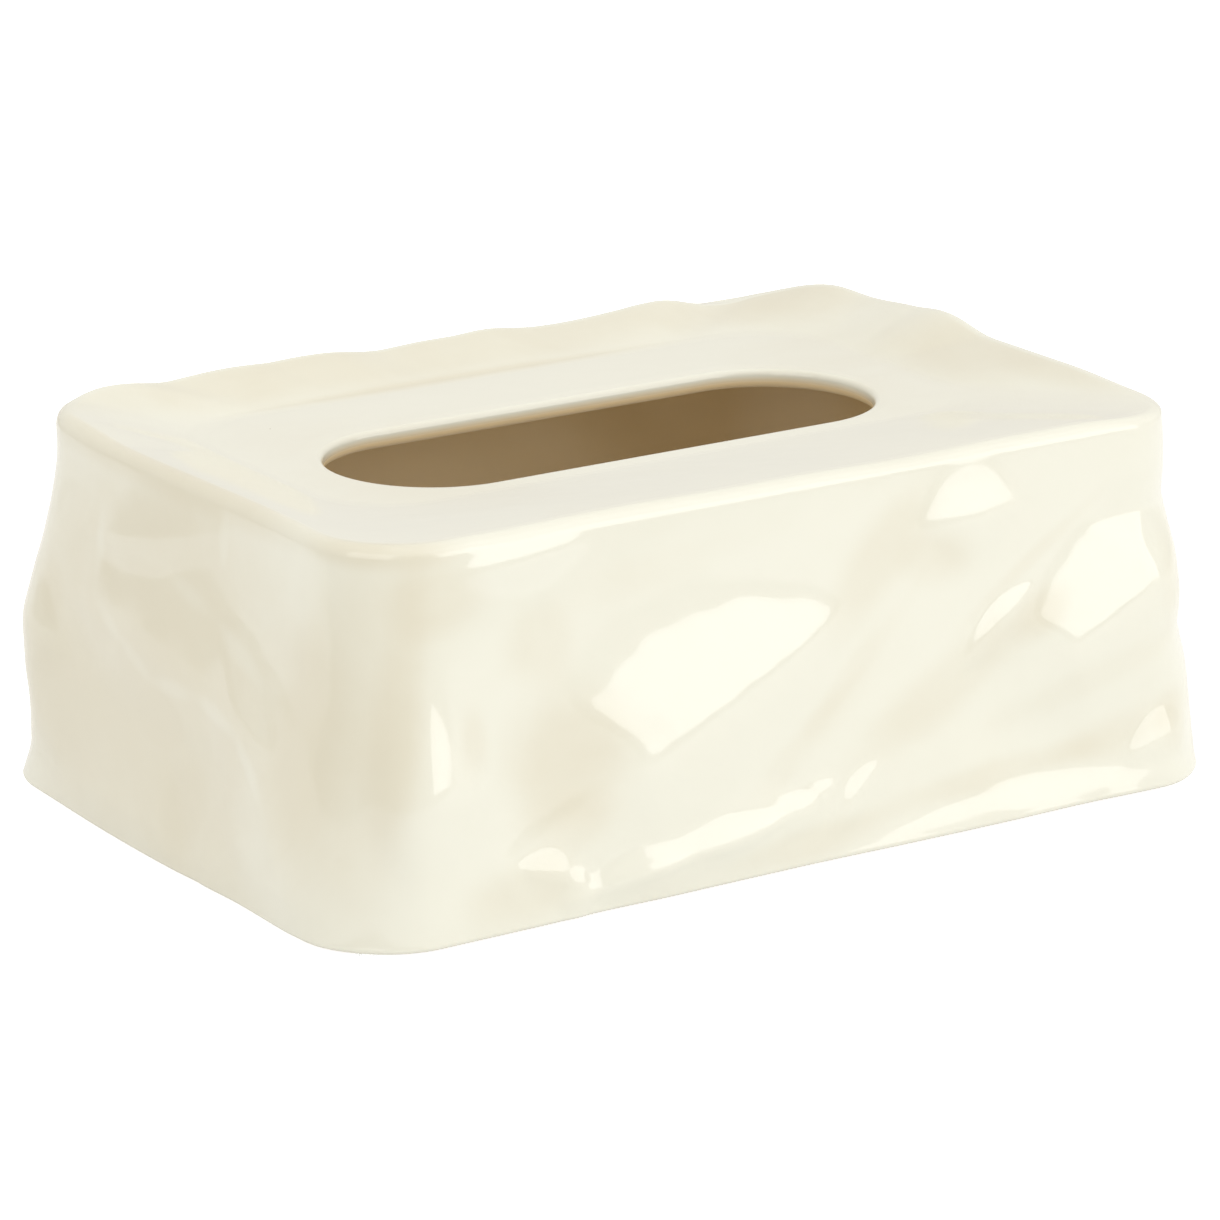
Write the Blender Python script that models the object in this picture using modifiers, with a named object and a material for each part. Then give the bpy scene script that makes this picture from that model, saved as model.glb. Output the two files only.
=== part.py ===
"""Tissue box cover: a slip-cast, glazed stoneware shell that drops over a flat box of tissues.

Metres, +Z up. The origin lies on the table under the middle of the cover, and the front faces -Y.
The shell is one loft of closed rings: round the foot, up the folded wall, over the wavy rim, down to
the tray-like top, through the slot, across the ceiling and down the inner wall to the foot again.
Four small clear pads keep the glazed foot off the table.
"""

import math
from collections import namedtuple

import bmesh
import bpy
import numpy as np

# Clear pads under the foot, and the gap between touching pieces
PAD_RADIUS = 0.003
PAD_THICKNESS = 0.0008
PAD_EDGE = 0.0002
SEAT_GAP = 0.0003

# Outside of the cover, at the foot and at the rim
COVER_HEIGHT = 0.0968
BASE_LENGTH = 0.265
BASE_DEPTH = 0.182
BASE_CORNER = 0.0235
TOP_LENGTH = 0.248
TOP_DEPTH = 0.167
TOP_CORNER = 0.0245
FOOT_ROLL = 0.0025
SHOULDER = 0.0030

# Tray-like top: how far the panel lies below the rim, and how wide the rim is on each side
TRAY_DROP = 0.0058
RIM_FRONT = 0.050
RIM_BACK = 0.0215
RIM_LEFT = 0.029
RIM_RIGHT = 0.0270
TRAY_CORNER = 0.0215

# Slot for the tissues, with a rounded lip
SLOT_LENGTH = 0.1565
SLOT_WIDTH = 0.0557
SLOT_SHIFT_X = -0.0010
SLOT_SHIFT_Y = 0.0011
PANEL_THICKNESS = 0.005
LIP_ROUND = 0.0016

# Inside of the cover
WALL = 0.0055
INNER_CORNER = 0.029
CEILING_FILLET = 0.008
FOOT_EASE = 0.0008

# Depth of the folds pressed into the wall, and of the waves in the rim
FOLD_DEPTH = 0.004
RIM_WAVE = 0.002
INNER_FOLLOW_SHARE = 0.55

# How nearly straight the rim's inner slope is
PLAIN_SLOPE_SHARE = 0.85

# Counts of columns round the cover and of rings up it
LONG_SIDE_COLUMNS = 32
SHORT_SIDE_COLUMNS = 20
CORNER_COLUMNS = 5
WALL_RINGS = 26
INNER_WALL_RINGS = 6
SLOPE_RINGS = 4
ROUND_STEPS = 3
PAD_SIDES = 32

# Where the end of the slot is divided between a corner's columns and a short side's
SLOT_END_TURN = math.radians(64)

# A fold is a ridge, or with a negative rise a hollow. Places run along each side of the cover,
# anticlockwise as seen from above: front left to right, right end front to back, back right to
# left, left end back to front. place, half_length and bow are shares of the front's or the end's
# own base length or depth; height and the two widths are shares of the cover's height; rise is a
# share of FOLD_DEPTH; lean is in degrees, up towards the end of the side.
Fold = namedtuple("Fold", "side place height half_length above below rise lean bow")
FRONT, RIGHT, BACK, LEFT = range(4)
FOLD_SHARES = (
    # Front: the broad leaf, the long fold behind it and their hollows
    Fold(FRONT, 0.387, 0.570, 0.172, 0.365, 0.550, 1.15, 12, -0.066),
    Fold(FRONT, 0.850, 0.470, 0.182, 0.265, 0.300, 0.95, 20.5, -0.008),
    Fold(FRONT, 0.735, 0.335, 0.078, 0.215, 0.380, -0.95, 27, 0.000),
    Fold(FRONT, 0.262, 0.260, 0.080, 0.260, 0.280, -0.32, 0, 0.000),
    # Front: the creases near the foot
    Fold(FRONT, 0.460, 0.100, 0.085, 0.120, 0.090, 0.58, 9, 0.000),
    Fold(FRONT, 0.350, 0.080, 0.125, 0.068, 0.060, 0.30, 7.5, 0.000),
    Fold(FRONT, 0.500, 0.150, 0.040, 0.085, 0.060, 0.25, 35, 0.000),
    Fold(FRONT, 0.549, 0.150, 0.048, 0.060, 0.060, 0.26, 46, 0.000),
    Fold(FRONT, 0.738, 0.058, 0.235, 0.080, 0.060, 0.36, 0.5, 0.000),
    Fold(FRONT, 0.203, 0.143, 0.030, 0.078, 0.060, 0.32, -10, 0.000),
    Fold(FRONT, 0.236, 0.088, 0.018, 0.070, 0.050, 0.26, -10, 0.000),
    Fold(FRONT, 0.893, 0.165, 0.064, 0.140, 0.090, 0.70, 20, 0.000),
    Fold(FRONT, 0.876, 0.080, 0.034, 0.085, 0.050, 0.40, 10, 0.000),
    # Front: under the rim
    Fold(FRONT, 0.692, 0.822, 0.060, 0.165, 0.140, 0.46, 2, 0.000),
    Fold(FRONT, 0.190, 0.925, 0.068, 0.080, 0.080, 0.32, 4, 0.000),
    # Front: soft ridges and the turn into the left end
    Fold(FRONT, 0.905, 0.745, 0.075, 0.150, 0.120, -0.35, 0, 0.000),
    Fold(FRONT, 0.088, 0.375, 0.068, 0.250, 0.240, 0.75, 0, 0.000),
    # Right end
    Fold(RIGHT, 0.060, 0.740, 0.160, 0.260, 0.260, -0.65, 0, 0.000),
    Fold(RIGHT, 0.040, 0.400, 0.100, 0.110, 0.110, -0.35, 0, 0.000),
    Fold(RIGHT, 0.300, 0.58, 0.230, 0.26, 0.28, 0.80, 24, 0.015),
    Fold(RIGHT, 0.720, 0.46, 0.240, 0.24, 0.26, 0.75, 17, -0.015),
    Fold(RIGHT, 0.480, 0.26, 0.230, 0.16, 0.16, 0.45, 12, 0.000),
    Fold(RIGHT, 0.560, 0.74, 0.210, 0.14, 0.16, -0.50, 20, 0.000),
    Fold(RIGHT, 0.250, 0.30, 0.120, 0.14, 0.14, -0.45, -15, 0.000),
    Fold(RIGHT, 0.850, 0.17, 0.140, 0.12, 0.12, 0.40, 8, 0.000),
    # Back
    Fold(BACK, 0.190, 0.56, 0.180, 0.27, 0.26, 0.80, 20, 0.010),
    Fold(BACK, 0.500, 0.44, 0.190, 0.25, 0.26, 0.75, 14, -0.012),
    Fold(BACK, 0.790, 0.56, 0.170, 0.24, 0.24, 0.75, 24, 0.000),
    Fold(BACK, 0.340, 0.70, 0.130, 0.14, 0.14, -0.50, 24, 0.000),
    Fold(BACK, 0.660, 0.28, 0.140, 0.15, 0.13, -0.50, 16, 0.000),
    Fold(BACK, 0.330, 0.20, 0.160, 0.18, 0.13, 0.75, 10, 0.000),
    Fold(BACK, 0.850, 0.20, 0.140, 0.16, 0.12, 0.65, 12, 0.000),
    # Left end: the bulge at the rear corner, the shelf and the hollow under it
    Fold(LEFT, 0.020, 0.460, 0.200, 0.230, 0.250, 0.90, -6, 0.000),
    Fold(LEFT, 0.010, 0.900, 0.240, 0.240, 0.280, -0.90, 0, 0.000),
    Fold(LEFT, 0.020, 0.080, 0.200, 0.220, 0.200, -0.55, 0, 0.000),
    Fold(LEFT, 0.458, 0.830, 0.200, 0.170, 0.090, 0.40, 14, 0.000),
    Fold(LEFT, 0.500, 0.500, 0.300, 0.320, 0.160, 1.00, -8, 0.020),
    Fold(LEFT, 0.790, 0.300, 0.240, 0.300, 0.200, 1.00, -55, 0.000),
    Fold(LEFT, 0.560, 0.120, 0.100, 0.140, 0.100, -0.35, -60, 0.000),
    Fold(LEFT, 0.440, 0.020, 0.260, 0.340, 0.200, 0.80, 0, 0.000),
    Fold(LEFT, 0.950, 0.000, 0.120, 0.350, 0.200, -0.40, 0, 0.000),
)
CREST_SHARE = 0.30
CREASE_SHARE = 0.22

# The folds fade towards the foot and the rim: (height, how much of the fold is left)
FADE_SHARES = ((0.0, 0.45), (0.10, 0.95), (0.30, 1.0), (0.75, 1.0), (0.92, 0.60), (1.0, 0.40))

# Waves in the rim's height: (side, place, half length, rise as a share of RIM_WAVE)
RIM_WAVE_SHARES = (
    (BACK, 0.98, 0.12, 0.60),
    (BACK, 0.870, 0.065, 1.00),
    (BACK, 0.74, 0.10, 0.62),
    (BACK, 0.635, 0.070, 0.90),
    (BACK, 0.60, 0.09, -0.42),
    (BACK, 0.440, 0.05, 0.30),
    (BACK, 0.36, 0.10, -0.62),
    (BACK, 0.240, 0.05, 0.30),
    (BACK, 0.170, 0.07, -0.85),
    (BACK, 0.12, 0.10, -1.05),
    (BACK, 0.050, 0.06, 0.50),
    (RIGHT, 0.600, 0.09, 0.70),
    (RIGHT, 0.65, 0.16, 1.00),
    (RIGHT, 0.12, 0.20, -0.70),
    (FRONT, 0.30, 0.14, 0.20),
    (FRONT, 0.62, 0.12, -0.22),
    (LEFT, 0.35, 0.20, -0.25),
    (LEFT, 0.70, 0.18, 0.20),
)

FOOT_Z = PAD_THICKNESS + SEAT_GAP
RIM_Z = FOOT_Z + COVER_HEIGHT
PANEL_Z = RIM_Z - TRAY_DROP
CEILING_Z = PANEL_Z - PANEL_THICKNESS
SIDE_LENGTHS = (BASE_LENGTH, BASE_DEPTH, BASE_LENGTH, BASE_DEPTH)

# A rounded rectangle seen from above. Its ends turn by end_turn where they are part of a circle.
Outline = namedtuple("Outline", "half_length half_depth corner end_turn centre_x centre_y")

# One ring of the loft: points and outward directions from above, and the way round to each point
Ring = namedtuple("Ring", "points outward way girth")


def clear_scene():
    for thing in list(bpy.data.objects):
        bpy.data.objects.remove(thing, do_unlink=True)


def collection_named(name):
    collection = bpy.data.collections.new(name)
    bpy.context.scene.collection.children.link(collection)
    return collection


def material_named(name, colour, roughness, transmission=0.0, coat=0.0):
    material = bpy.data.materials.new(name)
    material.use_nodes = True
    shader = material.node_tree.nodes["Principled BSDF"]
    shader.inputs["Base Color"].default_value = (*colour, 1.0)
    shader.inputs["Roughness"].default_value = roughness
    shader.inputs["Metallic"].default_value = 0.0
    shader.inputs["Transmission Weight"].default_value = transmission
    shader.inputs["Coat Weight"].default_value = coat
    material.diffuse_color = (*colour, 1.0)
    return material


def quarter(outline, turn_from, turn_to, shares, x_sign, y_sign):
    """Points of a corner's arc, whose angle runs from turn_from to turn_to."""
    turns = turn_from + (turn_to - turn_from) * shares
    x = x_sign * (outline.half_length - outline.corner) + outline.corner * np.cos(turns)
    y = y_sign * (outline.half_depth - outline.corner) + outline.corner * np.sin(turns)
    return np.stack([x, y], 1), np.stack([np.cos(turns), np.sin(turns)], 1)


def long_side(outline, shares, sign):
    x = -sign * (2 * shares - 1) * (outline.half_length - outline.corner)
    y = np.full_like(x, sign * outline.half_depth)
    return np.stack([x, y], 1), np.tile([0.0, sign], (len(shares), 1))


def short_side(outline, shares, sign):
    """An end of the outline, which is straight, or part of a circle, or both."""
    turns = (shares - 0.5) * outline.end_turn
    reach = outline.half_length - outline.corner
    y_sweep = (2 * shares - 1) * (outline.half_depth - outline.corner)
    x = sign * (reach + outline.corner * np.cos(turns))
    y = sign * (y_sweep + outline.corner * np.sin(turns))
    return np.stack([x, y], 1), sign * np.stack([np.cos(turns), np.sin(turns)], 1)


def ring_of(outline):
    """The ring's points, anticlockwise from the left of the front. way is 0 at the front's middle."""
    long_shares = np.arange(LONG_SIDE_COLUMNS) / LONG_SIDE_COLUMNS
    short_shares = np.arange(SHORT_SIDE_COLUMNS) / SHORT_SIDE_COLUMNS
    corner_shares = np.arange(CORNER_COLUMNS) / CORNER_COLUMNS
    right = math.pi / 2
    bend = outline.end_turn / 2
    parts = (
        long_side(outline, long_shares, -1),
        quarter(outline, -right, -bend, corner_shares, 1, -1),
        short_side(outline, short_shares, 1),
        quarter(outline, bend, right, corner_shares, 1, 1),
        long_side(outline, long_shares, 1),
        quarter(outline, right, 2 * right - bend, corner_shares, -1, 1),
        short_side(outline, short_shares, -1),
        quarter(outline, 2 * right + bend, 3 * right, corner_shares, -1, -1),
    )
    points = np.concatenate([part[0] for part in parts])
    outward = np.concatenate([part[1] for part in parts])
    steps = np.linalg.norm(np.roll(points, -1, 0) - points, axis=1)
    way = np.concatenate([[0.0], np.cumsum(steps)[:-1]])
    way -= outline.half_length - outline.corner
    points = points + np.array([outline.centre_x, outline.centre_y])
    return Ring(points, outward, way, steps.sum())


def way_from(ring, side, place):
    """The way round from a place on a side to each point. The sides' middles lie a quarter apart."""
    place_way = side * ring.girth / 4 + (place - 0.5) * SIDE_LENGTHS[side]
    return (ring.way - place_way + ring.girth / 2) % ring.girth - ring.girth / 2


def smooth_min(a, b, softness):
    """The lower of two values, rounded where they cross."""
    overlap = np.maximum(softness - np.abs(a - b), 0.0) / softness
    return np.minimum(a, b) - overlap * overlap * softness / 4


def smooth_max(a, b, softness):
    return -smooth_min(-a, -b, softness)


def fold_rise(fold, ring, height_share):
    """How far one fold moves the wall outward, along a whole ring."""
    length = SIDE_LENGTHS[fold.side]
    along = way_from(ring, fold.side, fold.place)
    up = (height_share - fold.height) * COVER_HEIGHT
    lean = math.radians(fold.lean)
    ahead = (along * math.cos(lean) + up * math.sin(lean)) / (fold.half_length * length)
    body = 1 - ahead * ahead
    across = up * math.cos(lean) - along * math.sin(lean)
    across = (across - fold.bow * length * body) / COVER_HEIGHT
    tent = smooth_min(body - across / fold.above, body + across / fold.below, CREST_SHARE)
    return fold.rise * FOLD_DEPTH * smooth_max(tent, 0.0, CREASE_SHARE)


def wall_rise(ring, height_share):
    """The folds together, faded towards the foot and the rim."""
    heights, parts_left = zip(*FADE_SHARES)
    fade = float(np.interp(height_share, heights, parts_left))
    return fade * sum(fold_rise(fold, ring, height_share) for fold in FOLD_SHARES)


def rim_wave(ring):
    """The wave in the rim's height, along a whole ring."""
    wave = np.zeros(len(ring.way))
    for side, place, half_length, rise in RIM_WAVE_SHARES:
        t = way_from(ring, side, place) / (half_length * SIDE_LENGTHS[side])
        wave += rise * RIM_WAVE * np.where(np.abs(t) < 1, (1 - t * t) ** 2, 0.0)
    return wave


def between(low, high, share):
    return low + (high - low) * share


def outer_outline(height_share, inset):
    """The unfolded wall at a share of the cover's height, drawn in by inset."""
    return Outline(
        between(BASE_LENGTH, TOP_LENGTH, height_share) / 2 - inset,
        between(BASE_DEPTH, TOP_DEPTH, height_share) / 2 - inset,
        between(BASE_CORNER, TOP_CORNER, height_share) - inset,
        0.0,
        0.0,
        0.0,
    )


def inner_outline(height_share, inset):
    """The inner wall. Its rounder corners leave the foot wide enough for the pads."""
    outer = outer_outline(height_share, WALL + inset)
    return outer._replace(corner=INNER_CORNER - inset)


def tray_outline():
    """Where the rim's inner slope meets the panel."""
    left, right = RIM_LEFT - TOP_LENGTH / 2, TOP_LENGTH / 2 - RIM_RIGHT
    front, back = RIM_FRONT - TOP_DEPTH / 2, TOP_DEPTH / 2 - RIM_BACK
    return Outline(
        (right - left) / 2,
        (back - front) / 2,
        TRAY_CORNER,
        0.0,
        (right + left) / 2,
        (back + front) / 2,
    )


def slot_outline(outset):
    """The slot's edge with round ends, let out by outset."""
    half_width = SLOT_WIDTH / 2 + outset
    return Outline(
        SLOT_LENGTH / 2 + outset,
        half_width,
        half_width,
        SLOT_END_TURN,
        SLOT_SHIFT_X,
        SLOT_SHIFT_Y,
    )


def lifted(points, z):
    """Points from above, given their height."""
    heights = np.broadcast_to(z, (len(points),))
    return np.column_stack([points, heights])


def folded_ring(outline, z, follow_share=1.0):
    """A ring of the wall at height z, moved by the folds."""
    ring = ring_of(outline)
    height_share = (z - FOOT_Z) / COVER_HEIGHT
    rise = follow_share * wall_rise(ring, height_share)
    return lifted(ring.points + ring.outward * rise[:, None], z)


def foot_rings():
    """The rounded outer edge of the foot, from the flat land up to the wall."""
    rings = []
    for step in range(ROUND_STEPS):
        turn = math.pi / 2 * step / ROUND_STEPS
        inset = FOOT_ROLL * (1 - math.sin(turn))
        z = FOOT_Z + FOOT_ROLL * (1 - math.cos(turn))
        rings.append(folded_ring(outer_outline(0.0, inset), z))
    return rings


def wall_rings():
    low, high = FOOT_Z + FOOT_ROLL, RIM_Z - SHOULDER
    heights = np.linspace(low, high, WALL_RINGS)
    return [folded_ring(outer_outline((z - FOOT_Z) / COVER_HEIGHT, 0.0), z) for z in heights]


def shoulder_rings():
    """The rounded outer edge of the rim, up to its crest."""
    rings = []
    for step in range(1, ROUND_STEPS + 1):
        turn = math.pi / 2 * step / ROUND_STEPS
        inset = SHOULDER * (1 - math.cos(turn))
        rise = SHOULDER * math.sin(turn)
        z = RIM_Z - SHOULDER + rise
        outline = outer_outline((z - FOOT_Z) / COVER_HEIGHT, inset)
        points = folded_ring(outline, z)
        points[:, 2] += rim_wave(ring_of(outline)) * rise / SHOULDER
        rings.append(points)
    return rings


def slope_rings(crest):
    """The rim's inner slope, from its crest down to the flat panel."""
    tray = lifted(ring_of(tray_outline()).points, PANEL_Z)
    rings = []
    for step in range(1, SLOPE_RINGS + 1):
        share = step / SLOPE_RINGS
        eased = share * share * (3 - 2 * share)
        drop_share = between(eased, share, PLAIN_SLOPE_SHARE)
        ring = between(crest, tray, share)
        ring[:, 2] = between(crest[:, 2], PANEL_Z, drop_share)
        rings.append(ring)
    return rings


def lip_rings():
    """The slot's lip: rounded above, straight through the panel, rounded below."""
    rings = []
    for step in range(ROUND_STEPS + 1):
        turn = math.pi / 2 * step / ROUND_STEPS
        outset = LIP_ROUND * (1 - math.sin(turn))
        z = PANEL_Z - LIP_ROUND * (1 - math.cos(turn))
        rings.append(lifted(ring_of(slot_outline(outset)).points, z))
    for step in range(ROUND_STEPS + 1):
        turn = math.pi / 2 * step / ROUND_STEPS
        outset = LIP_ROUND * (1 - math.cos(turn))
        z = CEILING_Z + LIP_ROUND * (1 - math.sin(turn))
        rings.append(lifted(ring_of(slot_outline(outset)).points, z))
    return rings


def ceiling_rings():
    """The fillet between the ceiling and the inner wall."""
    rings = []
    for step in range(ROUND_STEPS + 1):
        turn = math.pi / 2 * step / ROUND_STEPS
        inset = CEILING_FILLET * (1 - math.sin(turn))
        z = CEILING_Z - CEILING_FILLET * (1 - math.cos(turn))
        outline = inner_outline((z - FOOT_Z) / COVER_HEIGHT, inset)
        rings.append(folded_ring(outline, z, INNER_FOLLOW_SHARE * step / ROUND_STEPS))
    return rings


def inner_wall_rings():
    high, low = CEILING_Z - CEILING_FILLET, FOOT_Z + FOOT_EASE
    rings = []
    for z in np.linspace(high, low, INNER_WALL_RINGS + 1)[1:]:
        outline = inner_outline((z - FOOT_Z) / COVER_HEIGHT, 0.0)
        rings.append(folded_ring(outline, z, INNER_FOLLOW_SHARE))
    eased = inner_outline(0.0, -FOOT_EASE)
    rings.append(folded_ring(eased, FOOT_Z, INNER_FOLLOW_SHARE))
    return rings


def shell_rings():
    rings = foot_rings() + wall_rings() + shoulder_rings()
    rings += slope_rings(rings[-1])
    return rings + lip_rings() + ceiling_rings() + inner_wall_rings()


def loft(name, rings):
    """A closed loft through the rings, the last joined to the first."""
    bm = bmesh.new()
    rows = [[bm.verts.new(point) for point in ring] for ring in rings]
    columns = len(rows[0])
    for lower, upper in zip(rows, rows[1:] + rows[:1]):
        for i in range(columns):
            j = (i + 1) % columns
            bm.faces.new((lower[i], lower[j], upper[j], upper[i]))
    bmesh.ops.recalc_face_normals(bm, faces=bm.faces)
    mesh = bpy.data.meshes.new(name)
    bm.to_mesh(mesh)
    bm.free()
    mesh.shade_smooth()
    mesh.set_sharp_from_angle(angle=math.radians(50))
    return mesh


def make_shell(collection):
    glaze = material_named("cream_glaze", (0.88, 0.85, 0.74), 0.12, coat=0.6)
    mesh = loft("cover_shell", shell_rings())
    mesh.materials.append(glaze)
    shell = bpy.data.objects.new("cover_shell", mesh)
    collection.objects.link(shell)
    return shell


def pad_place():
    """The middle of the foot's flat land, on the diagonal of a corner."""
    outer = outer_outline(0.0, FOOT_ROLL)
    inner = inner_outline(0.0, -FOOT_EASE)
    diagonal = math.sqrt(0.5)
    places = []
    for outline in (outer, inner):
        reach = outline.corner * diagonal
        x = outline.half_length - outline.corner + reach
        y = outline.half_depth - outline.corner + reach
        places.append((x, y))
    return (places[0][0] + places[1][0]) / 2, (places[0][1] + places[1][1]) / 2


def make_pads(collection):
    silicone = material_named("clear_silicone", (0.86, 0.87, 0.85), 0.35, transmission=0.6)
    x, y = pad_place()
    corners = (
        ("front_left", -x, -y),
        ("front_right", x, -y),
        ("rear_left", -x, y),
        ("rear_right", x, y),
    )
    for corner, pad_x, pad_y in corners:
        bpy.ops.mesh.primitive_cylinder_add(
            vertices=PAD_SIDES,
            radius=PAD_RADIUS,
            depth=PAD_THICKNESS,
            location=(pad_x, pad_y, PAD_THICKNESS / 2),
        )
        pad = bpy.context.active_object
        pad.name = "foot_pad_" + corner
        pad.data.name = pad.name
        pad.data.materials.append(silicone)
        rounding = pad.modifiers.new("rounded_edge", "BEVEL")
        rounding.width = PAD_EDGE
        rounding.segments = 2
        rounding.limit_method = "ANGLE"
        for holder in list(pad.users_collection):
            holder.objects.unlink(pad)
        collection.objects.link(pad)


def main():
    clear_scene()
    collection = collection_named("tissue_box_cover")
    make_shell(collection)
    make_pads(collection)


main()
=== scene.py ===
"""Looks of the tissue box cover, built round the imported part."""

import math
from collections import namedtuple

import bpy
import numpy as np
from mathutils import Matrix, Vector


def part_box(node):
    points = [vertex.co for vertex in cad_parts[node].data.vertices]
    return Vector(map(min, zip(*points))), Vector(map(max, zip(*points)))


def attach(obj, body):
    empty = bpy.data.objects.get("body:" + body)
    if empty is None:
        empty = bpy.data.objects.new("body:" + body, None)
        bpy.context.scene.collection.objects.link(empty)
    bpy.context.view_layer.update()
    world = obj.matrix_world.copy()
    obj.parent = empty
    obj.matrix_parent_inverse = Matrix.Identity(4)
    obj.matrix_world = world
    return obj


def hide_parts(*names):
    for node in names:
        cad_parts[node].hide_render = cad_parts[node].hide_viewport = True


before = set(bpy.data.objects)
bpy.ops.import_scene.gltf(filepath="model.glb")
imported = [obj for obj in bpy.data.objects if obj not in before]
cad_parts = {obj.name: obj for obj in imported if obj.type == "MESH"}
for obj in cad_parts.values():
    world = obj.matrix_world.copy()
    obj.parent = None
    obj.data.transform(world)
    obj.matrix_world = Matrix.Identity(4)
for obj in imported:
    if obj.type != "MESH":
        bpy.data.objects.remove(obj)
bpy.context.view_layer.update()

# Outside of the cover, at the foot and at the rim
FOOT_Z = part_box("cover_shell")[0].z
COVER_HEIGHT = 0.0968
BASE_LENGTH = 0.265
BASE_DEPTH = 0.182
BASE_CORNER = 0.0235
TOP_LENGTH = 0.248
TOP_DEPTH = 0.167
TOP_CORNER = 0.0245
FOOT_ROLL = 0.0015
SHOULDER = 0.0030
# Keeps the looks inside the part's box
CAD_CLEARANCE = 0.0001

# Tray-like top and the slot. RIM_FRONT and the next three run in from the rim's outline to the panel
TRAY_DROP = 0.0058
RIM_FRONT = 0.050
RIM_BACK = 0.0215
RIM_LEFT = 0.029
RIM_RIGHT = 0.0270
TRAY_CORNER = 0.0215
SLOT_LENGTH = 0.1565
SLOT_WIDTH = 0.0557
SLOT_SHIFT_X = -0.0010
SLOT_SHIFT_Y = 0.0011
PANEL_THICKNESS = 0.005
LIP_ROUND = 0.0016
# The rim's inner slope is straight at 1 and eased at both ends at 0
PLAIN_SLOPE_SHARE = 0.85

# Inside of the cover
WALL = 0.0055
INNER_CORNER = 0.029
CEILING_FILLET = 0.008
FOOT_EASE = 0.0008

# Folds and waves
FOLD_DEPTH = 0.004
RIM_WAVE = 0.002
INNER_FOLLOW_SHARE = 0.55
RIPPLE_DEPTH = 0.000012
# Each wave's turns along the length, the depth and the height, in radians, and where it starts
RIPPLE_WAVES = ((17, 11, 23, 0.0), (29, -13, -19, 1.3), (11, 31, -34, 2.1), (37, 23, 41, 0.7))

# Counts of columns round the cover and of rings up it
LONG_SIDE_COLUMNS = 136
SHORT_SIDE_COLUMNS = 88
CORNER_COLUMNS = 16
WALL_RINGS = 96
INNER_WALL_RINGS = 14
SLOPE_RINGS = 16
PANEL_RINGS = 6
ROUND_STEPS = 6
SHOULDER_STEPS = 9
# How much of the slot's round end a short side's columns take. The corners' columns take the rest
SLOT_END_TURN = math.radians(64)
# Faces that meet at more than this are shaded with a sharp edge
SHARP_EDGE = math.radians(50)

# The sides, anticlockwise from above. A place on a side runs that way too, from 0 to 1
FRONT, RIGHT, BACK, LEFT = range(4)

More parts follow.
